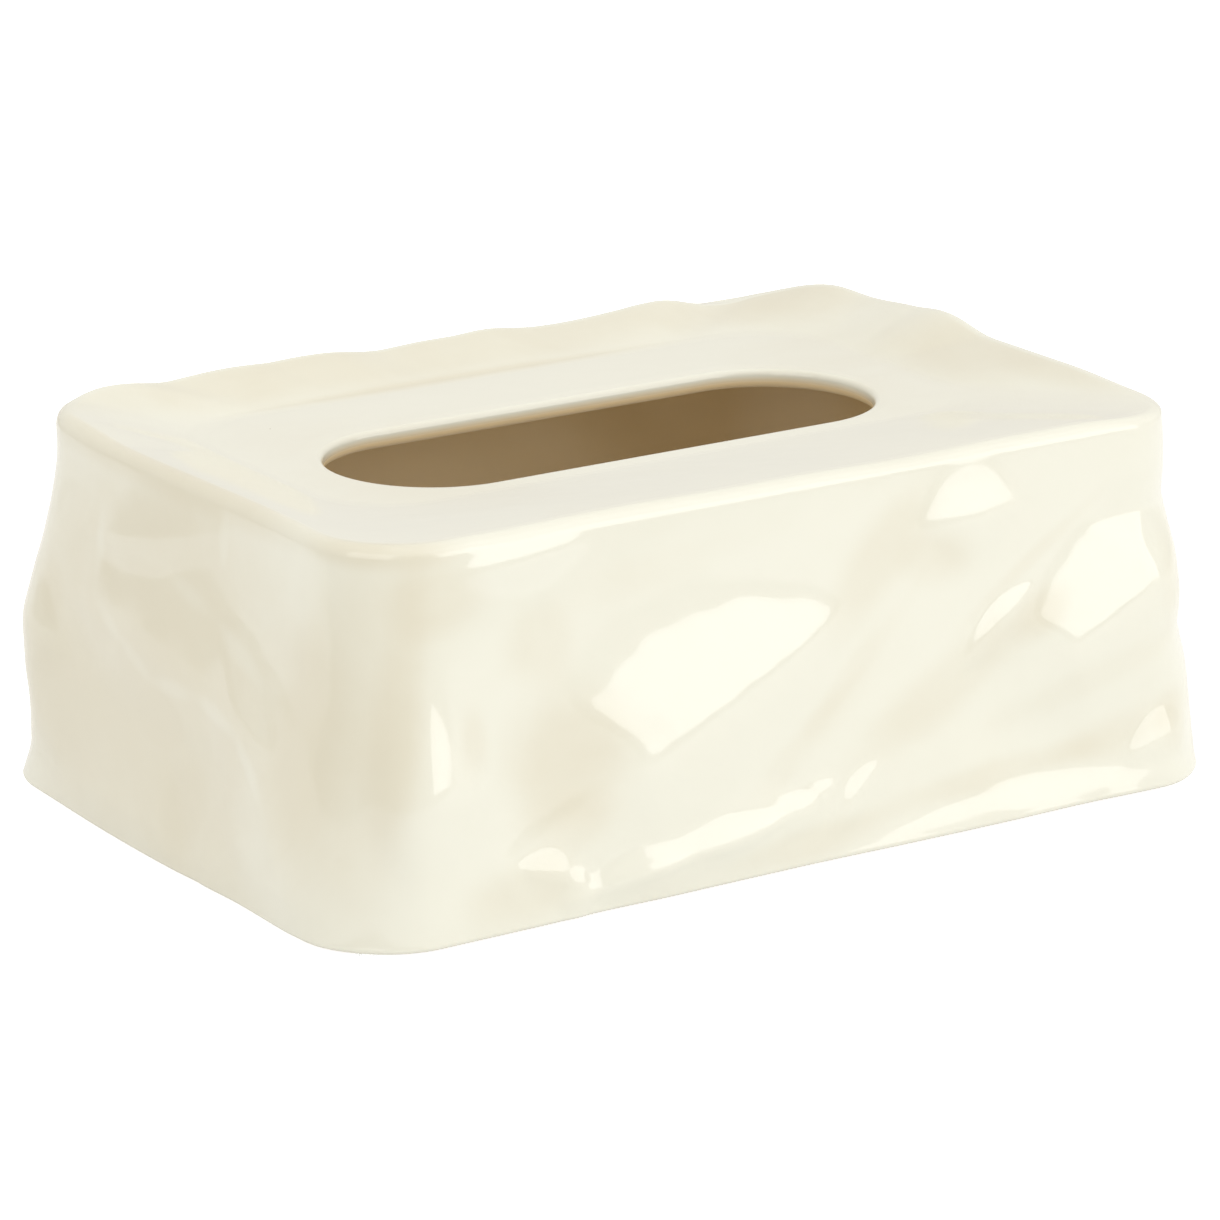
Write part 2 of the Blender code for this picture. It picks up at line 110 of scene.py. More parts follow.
# A fold's place, half_length and bow are shares of the side's length, and its height and the reach of
# its flanks above and below are shares of the cover's. Its rise is in fold depths, its lean in degrees
Fold = namedtuple("Fold", "side place height half_length above below rise lean bow")
FOLD_SHARES = (
    # Front: the broad leaf, the long fold to its right, the thin one between them and two hollows
    Fold(FRONT, 0.350, 0.388, 0.226, 0.335, 0.330, 1.00, 24.5, -0.004),
    Fold(FRONT, 0.872, 0.490, 0.175, 0.255, 0.280, 0.90, 27, 0.006),
    Fold(FRONT, 0.716, 0.520, 0.060, 0.055, 0.080, 0.31, 39, 0.000),
    Fold(FRONT, 0.733, 0.335, 0.080, 0.215, 0.500, -0.50, 29, 0.000),
    Fold(FRONT, 0.232, 0.290, 0.085, 0.300, 0.470, -0.72, 24, 0.000),
    # Front: the creases near the foot
    Fold(FRONT, 0.430, 0.135, 0.072, 0.120, 0.110, 0.56, 8, 0.000),
    Fold(FRONT, 0.355, 0.100, 0.120, 0.075, 0.080, 0.56, 8.5, 0.000),
    Fold(FRONT, 0.300, 0.085, 0.060, 0.070, 0.080, 0.45, 9, 0.000),
    Fold(FRONT, 0.500, 0.150, 0.040, 0.085, 0.060, 0.25, 35, 0.000),
    Fold(FRONT, 0.549, 0.152, 0.048, 0.060, 0.060, 0.27, 46, 0.000),
    Fold(FRONT, 0.765, -0.010, 0.270, 0.105, 0.060, 0.85, 0, 0.000),
    Fold(FRONT, 0.220, 0.120, 0.046, 0.070, 0.080, 0.42, -22, 0.000),
    Fold(FRONT, 0.240, 0.045, 0.022, 0.085, 0.070, 0.56, -8, 0.000),
    Fold(FRONT, 0.908, 0.130, 0.050, 0.100, 0.200, 0.50, 20, 0.000),
    Fold(FRONT, 0.905, -0.010, 0.070, 0.110, 0.060, 0.50, 0, 0.000),
    # Front: under the rim
    Fold(FRONT, 0.692, 0.822, 0.060, 0.165, 0.140, 0.46, 2, 0.000),
    Fold(FRONT, 0.198, 0.932, 0.070, 0.085, 0.080, 0.36, 4, 0.000),
    # Front: a hollow high on the right and the ridge beside the left corner
    Fold(FRONT, 0.905, 0.745, 0.075, 0.150, 0.120, -0.35, 0, 0.000),
    Fold(FRONT, 0.086, 0.375, 0.058, 0.250, 0.240, 0.75, 0, 0.000),
    # Right end
    Fold(RIGHT, 0.105, 0.670, 0.150, 0.270, 0.260, -0.72, 0, 0.000),
    Fold(RIGHT, 0.040, 0.400, 0.100, 0.110, 0.110, -0.35, 0, 0.000),
    Fold(RIGHT, 0.300, 0.58, 0.230, 0.26, 0.28, 0.80, 24, 0.015),
    Fold(RIGHT, 0.720, 0.46, 0.240, 0.24, 0.26, 0.75, 17, -0.015),
    Fold(RIGHT, 0.480, 0.26, 0.230, 0.16, 0.16, 0.45, 12, 0.000),
    Fold(RIGHT, 0.560, 0.74, 0.210, 0.14, 0.16, -0.50, 20, 0.000),
    Fold(RIGHT, 0.250, 0.30, 0.120, 0.14, 0.14, -0.45, -15, 0.000),
    Fold(RIGHT, 0.850, 0.17, 0.140, 0.12, 0.12, 0.40, 8, 0.000),
    # Back
    Fold(BACK, 0.190, 0.56, 0.180, 0.27, 0.26, 0.80, 20, 0.010),
    Fold(BACK, 0.500, 0.44, 0.190, 0.25, 0.26, 0.75, 14, -0.012),
    Fold(BACK, 0.790, 0.56, 0.170, 0.24, 0.24, 0.75, 24, 0.000),
    Fold(BACK, 0.340, 0.70, 0.130, 0.14, 0.14, -0.50, 24, 0.000),
    Fold(BACK, 0.660, 0.28, 0.140, 0.15, 0.13, -0.50, 16, 0.000),
    Fold(BACK, 0.330, 0.20, 0.160, 0.18, 0.13, 0.75, 10, 0.000),
    Fold(BACK, 0.850, 0.20, 0.140, 0.16, 0.12, 0.65, 12, 0.000),
    # Left end: the bulge at the rear corner, the shelf and the hollow under it
    Fold(LEFT, 0.020, 0.460, 0.200, 0.230, 0.250, 0.90, -6, 0.000),
    Fold(LEFT, 0.010, 0.900, 0.240, 0.240, 0.280, -0.90, 0, 0.000),
    Fold(LEFT, 0.020, 0.080, 0.200, 0.220, 0.200, -0.68, 0, 0.000),
    Fold(LEFT, 0.458, 0.830, 0.200, 0.170, 0.090, 0.40, 14, 0.000),
    Fold(LEFT, 0.500, 0.500, 0.300, 0.320, 0.240, 0.90, -8, 0.020),
    Fold(LEFT, 0.790, 0.300, 0.260, 0.300, 0.300, 0.85, -55, 0.000),
    Fold(LEFT, 0.560, 0.120, 0.100, 0.140, 0.100, -0.35, -60, 0.000),
    Fold(LEFT, 0.440, 0.020, 0.260, 0.340, 0.200, 0.80, 0, 0.000),
    Fold(LEFT, 0.950, 0.000, 0.120, 0.350, 0.200, -0.65, 0, 0.000),
)
# How softly a fold's two flanks meet at its crest, and how softly it runs out into the wall
CREST_SHARE = 0.30
CREASE_SHARE = 0.22
# Shares of the height, each with the part of the folds that is left there
FADE_SHARES = ((0.0, 0.45), (0.10, 0.95), (0.30, 1.0), (0.75, 1.0), (0.92, 0.60), (1.0, 0.40))

# Waves of the rim: the side, the place and half length on it, and the rise in heights of a wave
RIM_WAVE_SHARES = (
    (BACK, 0.98, 0.12, 0.60),
    (BACK, 0.870, 0.065, 0.90),
    (BACK, 0.74, 0.10, 0.62),
    (BACK, 0.635, 0.070, 0.85),
    (BACK, 0.60, 0.09, -0.42),
    (BACK, 0.440, 0.05, 0.30),
    (BACK, 0.36, 0.10, -0.62),
    (BACK, 0.240, 0.05, 0.30),
    (BACK, 0.170, 0.07, -0.85),
    (BACK, 0.12, 0.10, -1.05),
    (BACK, 0.050, 0.06, 0.50),
    (RIGHT, 0.600, 0.09, 0.68),
    (RIGHT, 0.65, 0.16, 0.93),
    (RIGHT, 0.12, 0.20, -0.70),
    (FRONT, 0.30, 0.14, 0.20),
    (FRONT, 0.62, 0.12, -0.22),
    (LEFT, 0.35, 0.20, -0.25),
    (LEFT, 0.70, 0.18, 0.20),
)

# Painted shade on the walls, which turns the glaze tan, or painted highlight, pale, where the strength is
# below 0
ShadeMark = namedtuple("ShadeMark", "side place height half_length half_height lean strength")
PAINTED_SHADE_SHARES = (
    # Front: painted shade in the leaf's hollow, in small patches, along the creases and on the rim's left
    # corner
    ShadeMark(FRONT, 0.238, 0.420, 0.095, 0.270, 0, 0.62),
    ShadeMark(FRONT, 0.230, 0.240, 0.080, 0.120, 0, 0.30),
    ShadeMark(FRONT, 0.110, 0.870, 0.070, 0.150, 0, 0.50),
    ShadeMark(FRONT, 0.212, 0.710, 0.055, 0.170, 70, 0.36),
    ShadeMark(FRONT, 0.137, 0.500, 0.022, 0.130, 0, 0.32),
    ShadeMark(FRONT, 0.190, 0.100, 0.090, 0.130, 0, 0.42),
    ShadeMark(FRONT, 0.060, 0.985, 0.110, 0.060, 0, 0.45),
    ShadeMark(FRONT, 0.585, 0.760, 0.130, 0.130, 45, 0.42),
    ShadeMark(FRONT, 0.650, 0.725, 0.060, 0.110, 0, 0.38),
    ShadeMark(FRONT, 0.480, 0.300, 0.150, 0.075, 36, 0.24),
    ShadeMark(FRONT, 0.550, 0.480, 0.120, 0.055, 42, 0.20),
    ShadeMark(FRONT, 0.665, 0.405, 0.180, 0.125, 27, 0.44),
    ShadeMark(FRONT, 0.770, 0.540, 0.050, 0.110, 30, 0.38),
    ShadeMark(FRONT, 0.760, 0.680, 0.140, 0.035, 32, 0.30),
    ShadeMark(FRONT, 0.925, 0.560, 0.030, 0.200, 0, 0.32),
    ShadeMark(FRONT, 0.850, 0.165, 0.120, 0.090, 12, 0.34),
    ShadeMark(FRONT, 0.930, 0.180, 0.040, 0.130, 0, 0.40),
    ShadeMark(FRONT, 0.700, 0.130, 0.200, 0.060, 4, 0.34),
    ShadeMark(FRONT, 0.490, 0.060, 0.140, 0.070, 4, 0.38),
    ShadeMark(FRONT, 0.830, 0.340, 0.180, 0.070, 14, 0.22),
    ShadeMark(FRONT, 0.340, 0.840, 0.200, 0.080, 8, 0.18),
    # Left end: painted shade all over, darker on the facets
    ShadeMark(LEFT, 0.480, 0.470, 0.640, 0.850, 0, 0.80),
    ShadeMark(LEFT, 0.480, 0.985, 0.600, 0.070, 0, 0.38),
    ShadeMark(LEFT, 0.920, 0.560, 0.150, 0.760, 0, 0.42),
    ShadeMark(LEFT, 0.985, 0.560, 0.045, 0.500, 0, 0.32),
    ShadeMark(LEFT, 0.440, 0.870, 0.150, 0.100, 10, 0.22),
    ShadeMark(LEFT, 0.500, 0.620, 0.200, 0.130, -25, 0.18),
    ShadeMark(LEFT, 0.850, 0.480, 0.090, 0.380, 0, 0.26),
    ShadeMark(LEFT, 0.165, 0.555, 0.045, 0.110, 0, 0.25),
    ShadeMark(LEFT, 0.350, 0.660, 0.090, 0.060, -12, 0.18),
    ShadeMark(LEFT, 0.490, 0.375, 0.080, 0.090, 0, 0.62),
    ShadeMark(LEFT, 0.150, 0.260, 0.300, 0.300, 0, 0.22),
    ShadeMark(LEFT, 0.560, 0.180, 0.060, 0.190, -20, 0.20),
    # Left end: painted highlight along the ridges between the facets
    ShadeMark(LEFT, 0.295, 0.735, 0.018, 0.150, 0, -0.20),
    ShadeMark(LEFT, 0.340, 0.570, 0.065, 0.034, -24, -0.18),
    ShadeMark(LEFT, 0.430, 0.500, 0.065, 0.036, -22, -0.22),
    ShadeMark(LEFT, 0.534, 0.478, 0.075, 0.036, 5, -0.24),
    ShadeMark(LEFT, 0.652, 0.470, 0.080, 0.038, -10, -0.26),
    ShadeMark(LEFT, 0.741, 0.380, 0.065, 0.036, -50, -0.22),
    ShadeMark(LEFT, 0.557, 0.723, 0.080, 0.034, -14, -0.18),
    ShadeMark(LEFT, 0.685, 0.640, 0.095, 0.036, -23, -0.24),
    ShadeMark(LEFT, 0.620, 0.900, 0.018, 0.110, 0, -0.18),
    ShadeMark(LEFT, 0.715, 0.720, 0.080, 0.120, -15, -0.12),
    ShadeMark(LEFT, 0.740, 0.230, 0.070, 0.220, 8, -0.16),
    # Right end and back: painted shade
    ShadeMark(RIGHT, 0.480, 0.480, 0.400, 0.160, 22, 0.50),
    ShadeMark(RIGHT, 0.300, 0.180, 0.200, 0.120, 0, 0.35),
    ShadeMark(BACK, 0.300, 0.600, 0.220, 0.200, 25, 0.50),
    ShadeMark(BACK, 0.700, 0.330, 0.260, 0.160, 18, 0.50),
)

# Painted shade on the top, in shares of its length and depth
TopShadeMark = namedtuple("TopShadeMark", "across deep half_across half_deep strength")
TOP_PAINTED_SHADE_SHARES = (
    TopShadeMark(0.460, 0.945, 0.700, 0.115, 0.58),
    TopShadeMark(0.480, 0.868, 0.340, 0.022, 0.60),
    TopShadeMark(0.940, 0.930, 0.130, 0.170, 0.42),
    TopShadeMark(0.945, 0.500, 0.085, 0.230, 0.40),
    TopShadeMark(0.985, 0.320, 0.055, 0.180, 0.42),
    TopShadeMark(0.880, 0.500, 0.250, 0.700, 0.25),
    TopShadeMark(0.260, 0.480, 0.200, 0.450, 0.32),
)
# The share of a painted shade mark's reach over which it fades out
PAINTED_SHADE_EDGE_SHARE = 0.75

# Heights of the rim without its wave, of the panel and of the ceiling under it
RIM_Z = FOOT_Z + COVER_HEIGHT
PANEL_Z = RIM_Z - TRAY_DROP
CEILING_Z = PANEL_Z - PANEL_THICKNESS
# Lengths at the foot of the front, the right end, the back and the left end
SIDE_LENGTHS = (BASE_LENGTH, BASE_DEPTH, BASE_LENGTH, BASE_DEPTH)

# An outline from above, and a ring of points on it with their outward directions and the way round
Outline = namedtuple("Outline", "half_length half_depth corner end_turn centre_x centre_y")
Ring = namedtuple("Ring", "points outward way girth")

# Glaze colours
IVORY = (0.812, 0.81, 0.715, 1)
# Tan is the glaze's own cloud tone and also the colour of its painted shade
TAN = (0.73, 0.695, 0.57, 1)
PIT_BROWN = (0.22, 0.13, 0.05, 1)
# Inside: buff, darker than the glaze as painted shade of the cavity
BUFF_AND_CAVITY_SHADE = (0.75, 0.595, 0.355, 1)
CLAY = (0.62, 0.54, 0.42, 1)

# The clouds in the glaze: their depth, and the depths of cloud and painted shade together between which it
# turns from ivory to tan
CLOUD_DEPTH = 0.65
TINT_FROM, TINT_FULL = 0.25, 1.32

# Roughness of the glaze, of the wash inside, of the bare clay and of the silicone
GLAZE_SMOOTH, GLAZE_CLOUDY = 0.02, 0.09
WASH_ROUGH = 0.35
CLAY_ROUGH = 0.8
SILICONE_SMOOTH, SILICONE_CLOUDY = 0.15, 0.35

# Pits in the glaze: cells to a metre, the share of the cells without a pit, and a pit's radius in cells
PIT_CELLS_PER_METRE = 110.0
PITLESS_SHARE = 0.985
PIT_RADIUS = 0.045

# Silicone colours
CLEAR = (0.93, 0.94, 0.92, 1)
CLOUDY = (0.84, 0.85, 0.83, 1)

# The photograph's camera
CAMERA_TURN = math.radians(33.64)
CAMERA_DROP = math.radians(16.92)
CAMERA_DISTANCE = 1.4532
CAMERA_MIDDLE = Vector((0.0, 0.0, 0.0479))
CAMERA_AIM_RIGHT = 0.00018
CAMERA_AIM_UP = -0.0043
CAMERA_LENS = 167.9
SENSOR_WIDTH = 36.0

# Softboxes. turn is from the front towards the right end and lift is up, both in degrees
Softbox = namedtuple("Softbox", "name turn lift distance width height radiance mirrored")
SOFTBOXES = (
    Softbox("key", 34, 12.1, 2.0, 1.60, 1.07, 1.58, True),
    Softbox("over_key", 34, 43, 2.0, 1.6, 1.1, 0.50, True),
    Softbox("left_fill", -62, 28, 1.8, 1.5, 1.2, 1.14, True),
    Softbox("top_fill", 0, 88, 1.6, 1.3, 1.0, 1.08, False),
)
LIGHT_AIM = Vector((0.0, 0.0, 0.05))
# An area light's power for its radiance is four times its area
AREA_LIGHT_FACTOR = 4.0

# The studio. Reflections show its backdrop, and a dimmer side where the camera stands
WHITE = (1, 1, 1, 1)
BACKDROP = (0.77, 0.745, 0.705, 1)
STUDIO_DIM = (0.34, 0.31, 0.25, 1)
DIM_FROM, DIM_FULL = 0.5, 0.9
OPEN_SIDE = (-math.sin(CAMERA_TURN), -math.cos(CAMERA_TURN), 0.0)

# The floor, and the table top that reflections show further off, in metres from the middle
FLOOR_SIZE = 12.0
FLOOR_PALE = (0.74, 0.74, 0.74, 1)
FLOOR_GLOW = 0.15
FLOOR_SEEN_GLOW = 0.70
FLOOR_GLOSS_GLOW = 0.15
TABLE_NEAR, TABLE_FAR = 0.60, 0.80
TABLE_EDGE_NEAR, TABLE_EDGE_FAR = 0.24, 0.34
TABLE_LEFT, TABLE_RIGHT = -0.1, 0.3
LEFT_TABLE = (0.58, 0.55, 0.48, 1)
BACK_TABLE = (0.78, 0.76, 0.72, 1)
NEAR_EDGE = (0.30, 0.27, 0.21, 1)


def quarter(outline, turn_from, turn_to, shares, x_sign, y_sign):
    """Points of a corner's arc, whose angle runs from turn_from to turn_to."""
    turns = turn_from + (turn_to - turn_from) * shares
    x = x_sign * (outline.half_length - outline.corner) + outline.corner * np.cos(turns)
    y = y_sign * (outline.half_depth - outline.corner) + outline.corner * np.sin(turns)
    return np.stack([x, y], 1), np.stack([np.cos(turns), np.sin(turns)], 1)


def long_side(outline, shares, sign):
    x = -sign * (2 * shares - 1) * (outline.half_length - outline.corner)
    y = np.full_like(x, sign * outline.half_depth)
    return np.stack([x, y], 1), np.tile([0.0, sign], (len(shares), 1))


def short_side(outline, shares, sign):
    """An end of the outline, which is straight, or part of a circle, or both."""
    turns = (shares - 0.5) * outline.end_turn
    reach = outline.half_length - outline.corner
    y_sweep = (2 * shares - 1) * (outline.half_depth - outline.corner)
    x = sign * (reach + outline.corner * np.cos(turns))
    y = sign * (y_sweep + outline.corner * np.sin(turns))
    return np.stack([x, y], 1), sign * np.stack([np.cos(turns), np.sin(turns)], 1)


def ring_of(outline):
    """The ring's points, anticlockwise from the left of the front. way is 0 at the front's middle."""
    long_shares = np.arange(LONG_SIDE_COLUMNS) / LONG_SIDE_COLUMNS
    short_shares = np.arange(SHORT_SIDE_COLUMNS) / SHORT_SIDE_COLUMNS
    corner_shares = np.arange(CORNER_COLUMNS) / CORNER_COLUMNS
    right = math.pi / 2
    bend = outline.end_turn / 2
    parts = (
        long_side(outline, long_shares, -1),
        quarter(outline, -right, -bend, corner_shares, 1, -1),
        short_side(outline, short_shares, 1),
        quarter(outline, bend, right, corner_shares, 1, 1),
        long_side(outline, long_shares, 1),
        quarter(outline, right, 2 * right - bend, corner_shares, -1, 1),
        short_side(outline, short_shares, -1),
        quarter(outline, 2 * right + bend, 3 * right, corner_shares, -1, -1),
    )
    points = np.concatenate([part[0] for part in parts])
    outward = np.concatenate([part[1] for part in parts])
    steps = np.linalg.norm(np.roll(points, -1, 0) - points, axis=1)
    way = np.concatenate([[0.0], np.cumsum(steps)[:-1]])
    way -= outline.half_length - outline.corner
    points = points + np.array([outline.centre_x, outline.centre_y])
    return Ring(points, outward, way, steps.sum())


def way_from(ring, side, place):
    """The way round from a place on a side to each point. The sides' middles lie a quarter apart."""
    place_way = side * ring.girth / 4 + (place - 0.5) * SIDE_LENGTHS[side]
    return (ring.way - place_way + ring.girth / 2) % ring.girth - ring.girth / 2


def smooth_min(a, b, softness):
    """The lower of two values, rounded where they cross."""
    overlap = np.maximum(softness - np.abs(a - b), 0.0) / softness
    return np.minimum(a, b) - overlap * overlap * softness / 4


def smooth_max(a, b, softness):
    return -smooth_min(-a, -b, softness)


def fold_rise(fold, ring, height_share):
    """How far one fold moves the wall outward, along a whole ring."""
    length = SIDE_LENGTHS[fold.side]
    along = way_from(ring, fold.side, fold.place)
    up = (height_share - fold.height) * COVER_HEIGHT
    lean = math.radians(fold.lean)
    ahead = (along * math.cos(lean) + up * math.sin(lean)) / (fold.half_length * length)
    body = 1 - ahead * ahead
    across = up * math.cos(lean) - along * math.sin(lean)
    across = (across - fold.bow * length * body) / COVER_HEIGHT
    tent = smooth_min(body - across / fold.above, body + across / fold.below, CREST_SHARE)
    return fold.rise * FOLD_DEPTH * smooth_max(tent, 0.0, CREASE_SHARE)


def ripple(ring, height_share):
    """The slight unevenness of a hand-poured wall: waves that cross each other."""
    across, deep = ring.points[:, 0] / COVER_HEIGHT, ring.points[:, 1] / COVER_HEIGHT
    waves = np.zeros(len(ring.way))
    for along_turns, deep_turns, up_turns, start in RIPPLE_WAVES:
        waves += np.sin(along_turns * across + deep_turns * deep + up_turns * height_share + start)
    return RIPPLE_DEPTH * waves


def wall_rise(ring, height_share):
    """The folds together, faded towards the foot and the rim."""
    heights, parts_left = zip(*FADE_SHARES)
    fade = float(np.interp(height_share, heights, parts_left))
    folds = sum(fold_rise(fold, ring, height_share) for fold in FOLD_SHARES)
    return fade * (folds + ripple(ring, height_share))


def rim_wave(ring):
    """The wave in the rim's height, along a whole ring."""
    wave = np.zeros(len(ring.way))
    for side, place, half_length, rise in RIM_WAVE_SHARES:
        t = way_from(ring, side, place) / (half_length * SIDE_LENGTHS[side])
        wave += rise * RIM_WAVE * np.where(np.abs(t) < 1, (1 - t * t) ** 2, 0.0)
    return wave


def between(low, high, share):
    return low + (high - low) * share


def outer_outline(height_share, inset):
    """The unfolded wall at a share of the cover's height, drawn in by inset."""
    return Outline(
        between(BASE_LENGTH, TOP_LENGTH, height_share) / 2 - inset - CAD_CLEARANCE,
        between(BASE_DEPTH, TOP_DEPTH, height_share) / 2 - inset - CAD_CLEARANCE,
        between(BASE_CORNER, TOP_CORNER, height_share) - inset - CAD_CLEARANCE,
        0.0,
        0.0,
        0.0,
    )


def inner_outline(height_share, inset):
    """The inner wall. Its rounder corners leave the foot wide enough for the pads."""
    outer = outer_outline(height_share, WALL + inset)
    return outer._replace(corner=INNER_CORNER - inset)


def tray_outline():
    """Where the rim's inner slope meets the panel."""
    left, right = RIM_LEFT - TOP_LENGTH / 2, TOP_LENGTH / 2 - RIM_RIGHT
    front, back = RIM_FRONT - TOP_DEPTH / 2, TOP_DEPTH / 2 - RIM_BACK
    return Outline(
        (right - left) / 2,
        (back - front) / 2,
        TRAY_CORNER,
        0.0,
        (right + left) / 2,
        (back + front) / 2,
    )


def slot_outline(outset):
    """The slot's edge with round ends, let out by outset."""
    half_width = SLOT_WIDTH / 2 + outset
    return Outline(
        SLOT_LENGTH / 2 + outset,
        half_width,
        half_width,
        SLOT_END_TURN,
        SLOT_SHIFT_X,
        SLOT_SHIFT_Y,
    )


def lifted(points, z):
    """Points from above, given their height."""
    heights = np.broadcast_to(z, (len(points),))
    return np.column_stack([points, heights])


def folded_ring(outline, z, follow_share=1.0):
    """A ring of the wall at height z, moved by the folds."""
    ring = ring_of(outline)
    height_share = (z - FOOT_Z) / COVER_HEIGHT
    rise = follow_share * wall_rise(ring, height_share)
    return lifted(ring.points + ring.outward * rise[:, None], z)


def foot_rings():
    """The rounded outer edge of the foot, from the flat land up to the wall."""
    rings = []
    for step in range(ROUND_STEPS):
        turn = math.pi / 2 * step / ROUND_STEPS
        inset = FOOT_ROLL * (1 - math.sin(turn))
        z = FOOT_Z + FOOT_ROLL * (1 - math.cos(turn))
        rings.append(folded_ring(outer_outline(0.0, inset), z))
    return rings


def wall_rings():
    low, high = FOOT_Z + FOOT_ROLL, RIM_Z - SHOULDER
    heights = np.linspace(low, high, WALL_RINGS)
    return [folded_ring(outer_outline((z - FOOT_Z) / COVER_HEIGHT, 0.0), z) for z in heights]


def shoulder_rings():
    """The rounded outer edge of the rim, up to its crest."""
    rings = []
    for step in range(1, SHOULDER_STEPS + 1):
        turn = math.pi / 2 * step / SHOULDER_STEPS
        inset = SHOULDER * (1 - math.cos(turn))
        rise = SHOULDER * math.sin(turn)
        z = RIM_Z - SHOULDER + rise
        outline = outer_outline((z - FOOT_Z) / COVER_HEIGHT, inset)
        points = folded_ring(outline, z)
        points[:, 2] += rim_wave(ring_of(outline)) * rise / SHOULDER
        rings.append(points)
    return rings


def slope_rings(crest):
    """The rim's inner slope, from its crest down to the flat panel."""
    tray = lifted(ring_of(tray_outline()).points, PANEL_Z)
    rings = []
    for step in range(1, SLOPE_RINGS + 1):
        share = step / SLOPE_RINGS
        eased = share * share * (3 - 2 * share)
        drop_share = between(eased, share, PLAIN_SLOPE_SHARE)
        ring = between(crest, tray, share)
        ring[:, 2] = between(crest[:, 2], PANEL_Z, drop_share)
        rings.append(ring)
    return rings


def flat_rings(start, end, count):
    """Rings between two others, for the wide flat faces."""
    return [between(start, end, step / (count + 1)) for step in range(1, count + 1)]


def lip_rings():
    """The slot's lip: rounded above, straight through the panel, rounded below."""
    rings = []
    for step in range(ROUND_STEPS + 1):
        turn = math.pi / 2 * step / ROUND_STEPS
        outset = LIP_ROUND * (1 - math.sin(turn))
        z = PANEL_Z - LIP_ROUND * (1 - math.cos(turn))
        rings.append(lifted(ring_of(slot_outline(outset)).points, z))
    for step in range(ROUND_STEPS + 1):
        turn = math.pi / 2 * step / ROUND_STEPS
        outset = LIP_ROUND * (1 - math.cos(turn))
        z = CEILING_Z + LIP_ROUND * (1 - math.sin(turn))
        rings.append(lifted(ring_of(slot_outline(outset)).points, z))
    return rings


def ceiling_rings():
    """The fillet between the ceiling and the inner wall."""
    rings = []
    for step in range(ROUND_STEPS + 1):
        turn = math.pi / 2 * step / ROUND_STEPS
        inset = CEILING_FILLET * (1 - math.sin(turn))
        z = CEILING_Z - CEILING_FILLET * (1 - math.cos(turn))
        outline = inner_outline((z - FOOT_Z) / COVER_HEIGHT, inset)
        rings.append(folded_ring(outline, z, INNER_FOLLOW_SHARE * step / ROUND_STEPS))
    return rings


def inner_wall_rings():
    high, low = CEILING_Z - CEILING_FILLET, FOOT_Z + FOOT_EASE
    rings = []
    for z in np.linspace(high, low, INNER_WALL_RINGS + 1)[1:]:
        outline = inner_outline((z - FOOT_Z) / COVER_HEIGHT, 0.0)
        rings.append(folded_ring(outline, z, INNER_FOLLOW_SHARE))
    eased = inner_outline(0.0, -FOOT_EASE)
    rings.append(folded_ring(eased, FOOT_Z, INNER_FOLLOW_SHARE))
    return rings


def shell_rings():
    """All rings of the loft: up the outside, over the rim, down through the slot and inside to the foot."""
    rings = foot_rings() + wall_rings() + shoulder_rings()
    rings += slope_rings(rings[-1])
    lips = lip_rings()
    rings += flat_rings(rings[-1], lips[0], PANEL_RINGS)
    ceiling = ceiling_rings()
    rings += lips + flat_rings(lips[-1], ceiling[0], PANEL_RINGS)
    return rings + ceiling + inner_wall_rings()


def loft(name, rings):
    """A closed loft of quads through the rings, the last joined to the first."""
    points = np.concatenate(rings)
    rows, columns = len(rings), len(rings[0])
    index = np.arange(rows * columns).reshape(rows, columns)
    above = np.roll(index, -1, 0)
    quads = np.stack([index, np.roll(index, -1, 1), np.roll(above, -1, 1), above], 2)
    mesh = bpy.data.meshes.new(name)
    mesh.from_pydata(points.tolist(), [], quads.reshape(-1, 4).tolist())
    mesh.update()
    mesh.shade_smooth()
    mesh.set_sharp_from_angle(angle=SHARP_EDGE)
    return mesh


def node_of(tree, kind, place=(0, 0), inputs=None, **settings):
    """A node. Each input is a value, or the output that it is linked to."""
    node = tree.nodes.new(kind)
    node.location = place
    for name, value in settings.items():
        setattr(node, name, value)
    for key, value in (inputs or {}).items():
        if isinstance(value, bpy.types.NodeSocket):
            tree.links.new(value, node.inputs[key])
        else:
            node.inputs[key].default_value = value
    return node


def colour_mix(tree, place, factor, low, high):
    """A blend of two colours. A Mix node's colour inputs are its sixth and seventh, counted from 0."""
    mix = node_of(tree, "ShaderNodeMix", place, {0: factor}, data_type="RGBA")
    for key, colour in ((6, low), (7, high)):
        if isinstance(colour, bpy.types.NodeSocket):
            tree.links.new(colour, mix.inputs[key])
        else:
            mix.inputs[key].default_value = colour
    return mix.outputs[2]


def number_mix(tree, place, factor, low, high):
    return node_of(tree, "ShaderNodeMix", place, {0: factor, 2: low, 3: high}).outputs[0]


def math_of(tree, place, operation, first, second):
    return node_of(tree, "ShaderNodeMath", place, {0: first, 1: second}, operation=operation).outputs[0]


def ramp(tree, place, value, low, high):
    """0 up to low and 1 from high on, eased between them."""
    return node_of(
        tree, "ShaderNodeMapRange", place, {"Value": value, "From Min": low, "From Max": high},
        interpolation_type="SMOOTHSTEP",
    ).outputs[0]


def toward_camera(tree, place, vector):
    """How far a vector points along the floor towards the camera's side."""
    return node_of(
        tree, "ShaderNodeVectorMath", place, {0: vector, 1: OPEN_SIDE}, operation="DOT_PRODUCT"
    ).outputs["Value"]


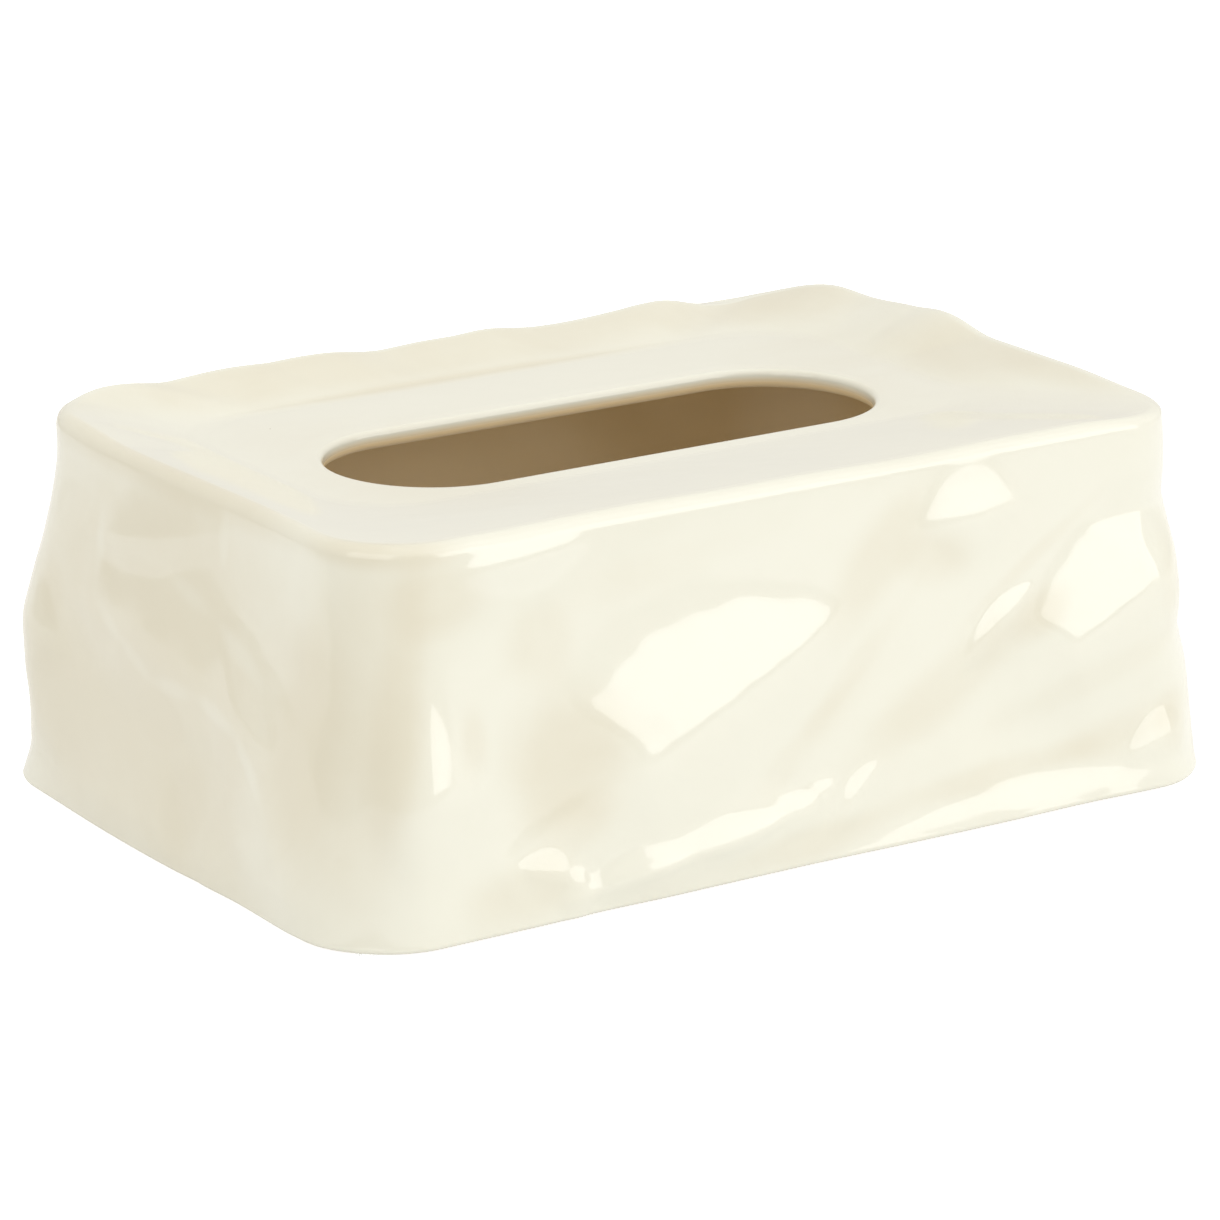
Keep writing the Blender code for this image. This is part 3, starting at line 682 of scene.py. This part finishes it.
def glaze_material():
    """Cream glaze, tan in random clouds and where shade is painted on it. Inside it is buff, darkened as
    painted shade of the cavity, and the body is bare clay under the foot.
    """
    material = bpy.data.materials.new("cream_glaze")
    material.use_nodes = True
    tree = material.node_tree
    shader = tree.nodes["Principled BSDF"]
    where = node_of(tree, "ShaderNodeTexCoord", (-1600, 0)).outputs["Object"]
    # The painted shade stored on each vertex, which turns the glaze tan
    shade_mark = node_of(tree, "ShaderNodeAttribute", (-1400, 300), attribute_name="shade_mark").outputs["Fac"]
    inside = node_of(tree, "ShaderNodeAttribute", (-600, 500), attribute_name="inside").outputs["Fac"]
    bare = node_of(tree, "ShaderNodeAttribute", (-400, 500), attribute_name="bare").outputs["Fac"]

    cloud = node_of(
        tree, "ShaderNodeTexNoise", (-1400, 0),
        {"Vector": where, "Scale": 26.0, "Detail": 4.0, "Roughness": 0.55, "Distortion": 0.6},
    ).outputs["Fac"]
    # Random clouds of tone plus the painted shade
    tone_and_shade = node_of(
        tree, "ShaderNodeMath", (-1200, 200), {0: cloud, 1: CLOUD_DEPTH, 2: shade_mark},
        operation="MULTIPLY_ADD",
    ).outputs[0]
    tint = ramp(tree, (-1000, 200), tone_and_shade, TINT_FROM, TINT_FULL)
    glaze = colour_mix(tree, (-800, 200), tint, IVORY, TAN)

    pits = node_of(
        tree, "ShaderNodeTexVoronoi", (-1400, -300), {"Vector": where, "Scale": PIT_CELLS_PER_METRE}
    ).outputs
    chosen = node_of(
        tree, "ShaderNodeSeparateColor", (-1200, -400), {"Color": pits["Color"]}
    ).outputs["Red"]
    rare = math_of(tree, (-1000, -400), "GREATER_THAN", chosen, PITLESS_SHARE)
    small = math_of(tree, (-1000, -250), "LESS_THAN", pits["Distance"], PIT_RADIUS)
    pit = math_of(tree, (-800, -300), "MULTIPLY", rare, small)
    pitted = colour_mix(tree, (-600, 200), pit, glaze, PIT_BROWN)
    # Buff inside: painted shade of the cavity
    lined_and_shaded = colour_mix(tree, (-400, 200), inside, pitted, BUFF_AND_CAVITY_SHADE)
    shown = colour_mix(tree, (-200, 200), bare, lined_and_shaded, CLAY)
    tree.links.new(shown, shader.inputs["Base Color"])

    rough = number_mix(tree, (-600, -100), cloud, GLAZE_SMOOTH, GLAZE_CLOUDY)
    lined_rough = number_mix(tree, (-400, -100), inside, rough, WASH_ROUGH)
    shown_rough = number_mix(tree, (-200, -100), bare, lined_rough, CLAY_ROUGH)
    tree.links.new(shown_rough, shader.inputs["Roughness"])

    ripple = node_of(
        tree, "ShaderNodeTexNoise", (-600, -500), {"Vector": where, "Scale": 75.0, "Detail": 2.0}
    ).outputs["Fac"]
    relief = node_of(
        tree, "ShaderNodeBump", (-300, -500), {"Strength": 0.1, "Distance": 0.0004, "Height": ripple}
    ).outputs[0]
    tree.links.new(relief, shader.inputs["Normal"])
    shader.inputs["IOR"].default_value = 1.55
    return material


def silicone_material():
    """Clear silicone, a little cloudy and uneven."""
    material = bpy.data.materials.new("clear_silicone")
    material.use_nodes = True
    tree = material.node_tree
    shader = tree.nodes["Principled BSDF"]
    where = node_of(tree, "ShaderNodeTexCoord", (-800, 0)).outputs["Object"]
    haze = node_of(
        tree, "ShaderNodeTexNoise", (-600, 0), {"Vector": where, "Scale": 900.0, "Detail": 2.0}
    ).outputs["Fac"]
    shown = colour_mix(tree, (-300, 200), haze, CLEAR, CLOUDY)
    tree.links.new(shown, shader.inputs["Base Color"])
    rough = number_mix(tree, (-300, 0), haze, SILICONE_SMOOTH, SILICONE_CLOUDY)
    tree.links.new(rough, shader.inputs["Roughness"])
    shader.inputs["Transmission Weight"].default_value = 0.85
    shader.inputs["IOR"].default_value = 1.41
    return material


def painted_shade_at(shade_mark, ring, height_share):
    """A soft oval of painted shade on the wall, or of painted highlight where its strength is below 0,
    along a whole ring.
    """
    along = way_from(ring, shade_mark.side, shade_mark.place) / SIDE_LENGTHS[shade_mark.side]
    up = (height_share - shade_mark.height) * COVER_HEIGHT / SIDE_LENGTHS[shade_mark.side]
    lean = math.radians(shade_mark.lean)
    ahead = (along * math.cos(lean) + up * math.sin(lean)) / shade_mark.half_length
    across = (up * math.cos(lean) - along * math.sin(lean)) * SIDE_LENGTHS[shade_mark.side]
    reach = np.hypot(ahead, across / (shade_mark.half_height * COVER_HEIGHT))
    return shade_mark.strength * smooth_fall(reach)


def smooth_fall(reach):
    """1 in the middle, falling to 0 where reach is 1."""
    left = np.clip((1 - reach) / PAINTED_SHADE_EDGE_SHARE, 0, 1)
    return left * left * (3 - 2 * left)


# Painted shade on a wall ring at height z
def wall_painted_shade(z):
    height_share = (z - FOOT_Z) / COVER_HEIGHT
    ring = ring_of(outer_outline(height_share, 0.0))
    return sum(painted_shade_at(shade_mark, ring, height_share) for shade_mark in PAINTED_SHADE_SHARES)


# Painted shade on the top, at each point
def top_painted_shade(points):
    across = points[:, 0] / TOP_LENGTH + 0.5
    deep = points[:, 1] / TOP_DEPTH + 0.5
    depth = np.zeros(len(points))
    for shade_mark in TOP_PAINTED_SHADE_SHARES:
        reach = np.hypot((across - shade_mark.across) / shade_mark.half_across, (deep - shade_mark.deep) / shade_mark.half_deep)
        depth += shade_mark.strength * smooth_fall(reach)
    return depth


def mark_glaze(mesh, rings):
    """Each vertex's painted shade, whether it lies inside and whether it is bare."""
    wall_end = ROUND_STEPS + WALL_RINGS + SHOULDER_STEPS
    lip_start = wall_end + SLOPE_RINGS + PANEL_RINGS
    under_lip = lip_start + ROUND_STEPS
    columns = len(rings[0])
    shade_marks, insides, bares = [], [], []
    for number, points in enumerate(rings):
        if number < wall_end:
            shade_marks.append(wall_painted_shade(points[:, 2].mean()))
        elif number <= under_lip:
            shade_marks.append(top_painted_shade(points))
        else:
            shade_marks.append(np.zeros(columns))
        insides.append(np.full(columns, float(number > under_lip)))
        bares.append(np.full(columns, float(number in (0, len(rings) - 1))))
    for name, values in (("shade_mark", shade_marks), ("inside", insides), ("bare", bares)):
        attribute = mesh.attributes.new(name, "FLOAT", "POINT")
        attribute.data.foreach_set("value", np.concatenate(values).astype(np.float32))


def make_shell():
    rings = shell_rings()
    mesh = loft("cover_body", rings)
    mark_glaze(mesh, rings)
    mesh.materials.append(glaze_material())
    shell = bpy.data.objects.new("cover_body", mesh)
    bpy.context.scene.collection.objects.link(shell)
    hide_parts("cover_shell")
    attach(shell, "root")
    return shell


def make_pads():
    silicone = silicone_material()
    for name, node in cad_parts.items():
        if name.startswith("foot_pad"):
            node.data.materials.clear()
            node.data.materials.append(silicone)


def make_camera():
    forward = Vector((
        math.sin(CAMERA_TURN) * math.cos(CAMERA_DROP),
        math.cos(CAMERA_TURN) * math.cos(CAMERA_DROP),
        -math.sin(CAMERA_DROP),
    ))
    right = Vector((math.cos(CAMERA_TURN), -math.sin(CAMERA_TURN), 0.0))
    up = right.cross(forward)
    data = bpy.data.cameras.new("camera")
    data.lens = CAMERA_LENS
    data.sensor_width = SENSOR_WIDTH
    camera = bpy.data.objects.new("camera", data)
    camera.location = CAMERA_MIDDLE - forward * CAMERA_DISTANCE
    aim = CAMERA_MIDDLE + right * CAMERA_AIM_RIGHT + up * CAMERA_AIM_UP
    camera.rotation_mode = "QUATERNION"
    camera.rotation_quaternion = (aim - camera.location).to_track_quat("-Z", "Y")
    bpy.context.scene.collection.objects.link(camera)
    bpy.context.scene.camera = camera


def make_light(box):
    """An area light facing the object."""
    turn, lift = math.radians(box.turn), math.radians(box.lift)
    toward = Vector((
        math.sin(turn) * math.cos(lift),
        -math.cos(turn) * math.cos(lift),
        math.sin(lift),
    ))
    data = bpy.data.lights.new(box.name, "AREA")
    data.shape = "RECTANGLE"
    data.size, data.size_y = box.width, box.height
    data.energy = AREA_LIGHT_FACTOR * box.radiance * box.width * box.height
    light = bpy.data.objects.new(box.name, data)
    light.location = LIGHT_AIM + toward * box.distance
    light.rotation_mode = "QUATERNION"
    light.rotation_quaternion = toward.to_track_quat("Z", "Y")
    light.visible_glossy = box.mirrored
    bpy.context.scene.collection.objects.link(light)


def make_world():
    """White for the camera. For light and reflections the studio is dim and warm on its open side."""
    world = bpy.data.worlds.new("studio")
    world.use_nodes = True
    bpy.context.scene.world = world
    tree = world.node_tree
    path = node_of(tree, "ShaderNodeLightPath", (-800, 300)).outputs
    seen = math_of(tree, (-600, 300), "MAXIMUM", path["Is Camera Ray"], path["Is Transmission Ray"])
    direction = node_of(tree, "ShaderNodeTexCoord", (-1000, -100)).outputs["Generated"]
    open_share = toward_camera(tree, (-800, -100), direction)
    dim = ramp(tree, (-600, -100), open_share, DIM_FROM, DIM_FULL)
    studio = colour_mix(tree, (-400, -100), dim, BACKDROP, STUDIO_DIM)
    shown = colour_mix(tree, (-200, 0), seen, studio, WHITE)
    tree.links.new(shown, tree.nodes["Background"].inputs["Color"])


def floor_material():
    """Pale and faintly glowing. Reflections show a darker table beyond a little way round the object."""
    material = bpy.data.materials.new("white_floor")
    material.use_nodes = True
    tree = material.node_tree
    tree.nodes.clear()
    path = node_of(tree, "ShaderNodeLightPath", (-1400, 400)).outputs
    where = node_of(tree, "ShaderNodeTexCoord", (-1400, -200)).outputs["Object"]

    reach = node_of(
        tree, "ShaderNodeVectorMath", (-1200, 0), {0: where}, operation="LENGTH"
    ).outputs["Value"]
    beyond = ramp(tree, (-1000, 0), reach, TABLE_NEAR, TABLE_FAR)
    edge = ramp(
        tree, (-1000, -200), toward_camera(tree, (-1200, -200), where), TABLE_EDGE_NEAR, TABLE_EDGE_FAR
    )
    far = math_of(tree, (-800, -100), "MAXIMUM", beyond, edge)
    near = math_of(tree, (-600, -100), "SUBTRACT", 1.0, far)

    across = node_of(tree, "ShaderNodeSeparateXYZ", (-1200, -400), {0: where}).outputs["X"]
    rightward = ramp(tree, (-1000, -400), across, TABLE_LEFT, TABLE_RIGHT)
    behind = colour_mix(tree, (-800, -400), rightward, LEFT_TABLE, BACK_TABLE)
    table = colour_mix(tree, (-600, -400), edge, behind, NEAR_EDGE)
    mirrored_table = math_of(tree, (-600, 100), "MULTIPLY", path["Is Glossy Ray"], far)
    colour = colour_mix(tree, (-400, 0), mirrored_table, FLOOR_PALE, table)

    mirrored_floor = math_of(tree, (-400, 300), "MULTIPLY", path["Is Glossy Ray"], near)
    mirrored_glow = math_of(tree, (-200, 300), "MULTIPLY", mirrored_floor, FLOOR_GLOSS_GLOW)
    seen = math_of(tree, (-400, 500), "MAXIMUM", path["Is Camera Ray"], path["Is Transmission Ray"])
    seen_glow = math_of(tree, (-200, 500), "MULTIPLY", seen, FLOOR_SEEN_GLOW)
    extra_glow = math_of(tree, (0, 400), "ADD", seen_glow, mirrored_glow)
    strength = math_of(tree, (200, 300), "ADD", extra_glow, FLOOR_GLOW)

    diffuse = node_of(tree, "ShaderNodeBsdfDiffuse", (200, 0), {"Color": colour}).outputs[0]
    glow = node_of(tree, "ShaderNodeEmission", (400, 200), {"Strength": strength}).outputs[0]
    both = node_of(tree, "ShaderNodeAddShader", (600, 100), {0: diffuse, 1: glow}).outputs[0]
    node_of(tree, "ShaderNodeOutputMaterial", (800, 100), {"Surface": both})
    return material


def make_floor():
    bpy.ops.mesh.primitive_plane_add(size=FLOOR_SIZE, location=(0, 0, 0))
    floor = bpy.context.active_object
    floor.name = "floor"
    floor.data.materials.append(floor_material())


make_shell()
make_pads()
make_camera()
for softbox in SOFTBOXES:
    make_light(softbox)
make_world()
make_floor()
bpy.context.scene.view_settings.view_transform = "Standard"
